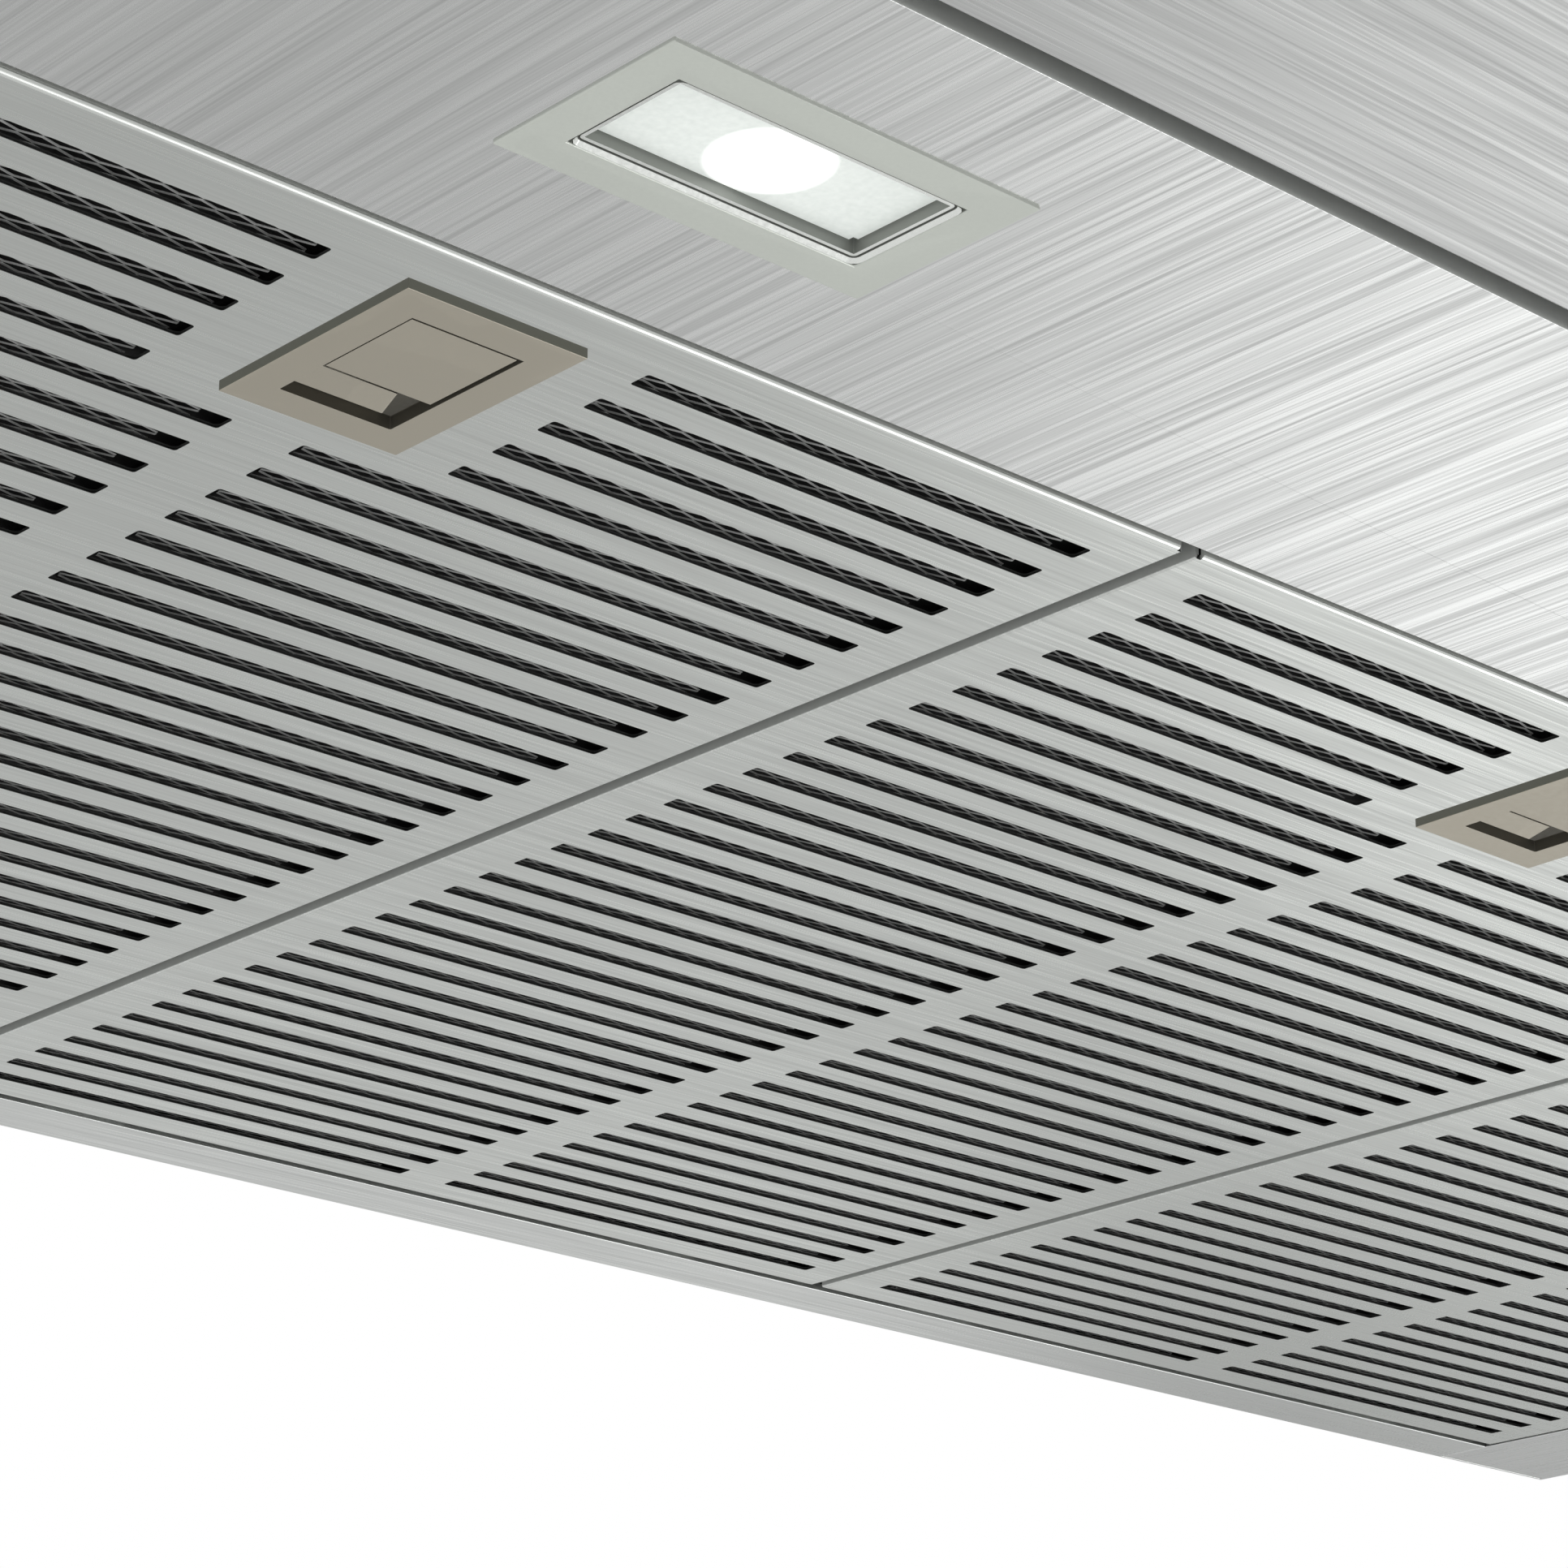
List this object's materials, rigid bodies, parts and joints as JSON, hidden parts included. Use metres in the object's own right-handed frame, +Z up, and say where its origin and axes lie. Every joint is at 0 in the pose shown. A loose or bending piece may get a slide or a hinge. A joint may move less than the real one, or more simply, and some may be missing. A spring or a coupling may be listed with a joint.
{
  "type": "island range hood",
  "caption": "Ceiling-hung island range hood: box canopy with slotted steel filters, push-button controls, lamps and a telescopic square chimney.",
  "frame": {"origin": "below the centre of the canopy, level with the lowest faces of the filters' latch plates, 2 mm below the canopy's underside", "axes": "+Z up, X along the canopy's length, -Y towards the side with the buttons"},
  "size_m": [0.898, 0.6, 0.8],
  "materials": {
    "brushed_steel": "brushed stainless steel",
    "filter_steel": "finely brushed stainless steel",
    "satin_nickel": "satin nickel-coloured metal",
    "aluminium_mesh": "expanded metal",
    "galvanised_steel": "galvanised sheet",
    "trim_grey": "satin grey",
    "frosted_glass": "frosted, lit from behind",
    "gasket_rubber": "matt",
    "white_plastic": "matt",
    "black_plastic": "fine satin",
    "circuit_board": "lacquered",
    "motor_grey": "powder coat",
    "spring_steel": "plain bright"
  },
  "bodies": {
    "hood": {"canopy_shell": "brushed_steel", "end_cap_left": "brushed_steel", "end_cap_right": "brushed_steel", "light_panel": "brushed_steel", "control_cover_panel": "brushed_steel", "lamp_trim_left": "trim_grey", "lamp_trim_right": "trim_grey", "lamp_gasket_left": "gasket_rubber", "lamp_gasket_right": "gasket_rubber", "lamp_glass_left": "frosted_glass", "lamp_glass_right": "frosted_glass", "lamp_housing_left": "galvanised_steel", "lamp_housing_right": "galvanised_steel", "lamp_led_left": "white_plastic", "lamp_led_right": "white_plastic", "control_bezel": "black_plastic", "switch_board": "circuit_board", "control_box": "black_plastic", "blower_casing": "galvanised_steel", "scroll_housing": "galvanised_steel", "motor": "motor_grey", "motor_bracket": "galvanised_steel", "duct_collar": "black_plastic", "damper_pin": "spring_steel", "lower_flue_cover": "brushed_steel", "lower_frame": "galvanised_steel", "ceiling_frame": "galvanised_steel", "clamp_bolt_1": "spring_steel", "clamp_bolt_2": "spring_steel", "clamp_bolt_3": "spring_steel", "clamp_bolt_4": "spring_steel"},
    "filter_1": {"filter_face_1": "filter_steel", "filter_mesh_1": "aluminium_mesh", "filter_back_frame_1": "galvanised_steel", "latch_plate_1": "satin_nickel"},
    "latch_1": {"latch_slide_1": "satin_nickel", "latch_spring_1": "spring_steel"},
    "filter_2": {"filter_face_2": "filter_steel", "filter_mesh_2": "aluminium_mesh", "filter_back_frame_2": "galvanised_steel", "latch_plate_2": "satin_nickel"},
    "latch_2": {"latch_slide_2": "satin_nickel", "latch_spring_2": "spring_steel"},
    "filter_3": {"filter_face_3": "filter_steel", "filter_mesh_3": "aluminium_mesh", "filter_back_frame_3": "galvanised_steel", "latch_plate_3": "satin_nickel"},
    "latch_3": {"latch_slide_3": "satin_nickel", "latch_spring_3": "spring_steel"},
    "fan": {"impeller": "black_plastic", "motor_shaft": "spring_steel"},
    "damper_far": {"damper_flap_far": "black_plastic"},
    "damper_near": {"damper_flap_near": "black_plastic"},
    "button_1": {"button_1": "brushed_steel"},
    "button_2": {"button_2": "brushed_steel"},
    "button_3": {"button_3": "brushed_steel"},
    "button_4": {"button_4": "brushed_steel"},
    "button_5": {"button_5": "brushed_steel"},
    "upper_cover": {"upper_flue_cover": "brushed_steel"}
  },
  "joints": [
    {"name": "filter_1_drop", "type": "hinge", "parent": "hood", "child": "filter_1", "pos_m": [-0.268, 0.2826, 0.0043], "axis": [1, 0, 0], "range_deg": [0, 70]},
    {"name": "latch_1_pull", "type": "slide", "parent": "filter_1", "child": "latch_1", "axis": [0, 1, 0], "range_m": [0, 0.009], "stiffness_N_per_m": 150, "springref_m": -0.01, "deforming": ["latch_spring_1"]},
    {"name": "filter_2_drop", "type": "hinge", "parent": "hood", "child": "filter_2", "pos_m": [0, 0.2826, 0.0043], "axis": [1, 0, 0], "range_deg": [0, 70]},
    {"name": "latch_2_pull", "type": "slide", "parent": "filter_2", "child": "latch_2", "axis": [0, 1, 0], "range_m": [0, 0.009], "stiffness_N_per_m": 150, "springref_m": -0.01, "deforming": ["latch_spring_2"]},
    {"name": "filter_3_drop", "type": "hinge", "parent": "hood", "child": "filter_3", "pos_m": [0.268, 0.2826, 0.0043], "axis": [1, 0, 0], "range_deg": [0, 70]},
    {"name": "latch_3_pull", "type": "slide", "parent": "filter_3", "child": "latch_3", "axis": [0, 1, 0], "range_m": [0, 0.009], "stiffness_N_per_m": 150, "springref_m": -0.01, "deforming": ["latch_spring_3"]},
    {"name": "fan_spin", "type": "hinge", "parent": "hood", "child": "fan", "pos_m": [0, -0.035, 0.215], "axis": [1, 0, 0], "continuous": true},
    {"name": "damper_far_swing", "type": "hinge", "parent": "hood", "child": "damper_far", "pos_m": [0, 0, 0.378], "axis": [1, 0, 0], "range_deg": [0, 75]},
    {"name": "damper_near_swing", "type": "hinge", "parent": "hood", "child": "damper_near", "pos_m": [0, 0, 0.378], "axis": [-1, 0, 0], "range_deg": [0, 75]},
    {"name": "button_1_press", "type": "slide", "parent": "hood", "child": "button_1", "axis": [0, 1, 0], "range_m": [0, 0.0025], "stiffness_N_per_m": 400, "springref_m": -0.002},
    {"name": "button_2_press", "type": "slide", "parent": "hood", "child": "button_2", "axis": [0, 1, 0], "range_m": [0, 0.0025], "stiffness_N_per_m": 400, "springref_m": -0.002},
    {"name": "button_3_press", "type": "slide", "parent": "hood", "child": "button_3", "axis": [0, 1, 0], "range_m": [0, 0.0025], "stiffness_N_per_m": 400, "springref_m": -0.002},
    {"name": "button_4_press", "type": "slide", "parent": "hood", "child": "button_4", "axis": [0, 1, 0], "range_m": [0, 0.0025], "stiffness_N_per_m": 400, "springref_m": -0.002},
    {"name": "button_5_press", "type": "slide", "parent": "hood", "child": "button_5", "axis": [0, 1, 0], "range_m": [0, 0.0025], "stiffness_N_per_m": 400, "springref_m": -0.002},
    {"name": "upper_cover_slide", "type": "slide", "parent": "hood", "child": "upper_cover", "axis": [0, 0, -1], "range_m": [0, 0.3]}
  ],
  "couplings": [
    {"joint": "damper_near_swing", "follows": "damper_far_swing", "ratio": 1}
  ]
}
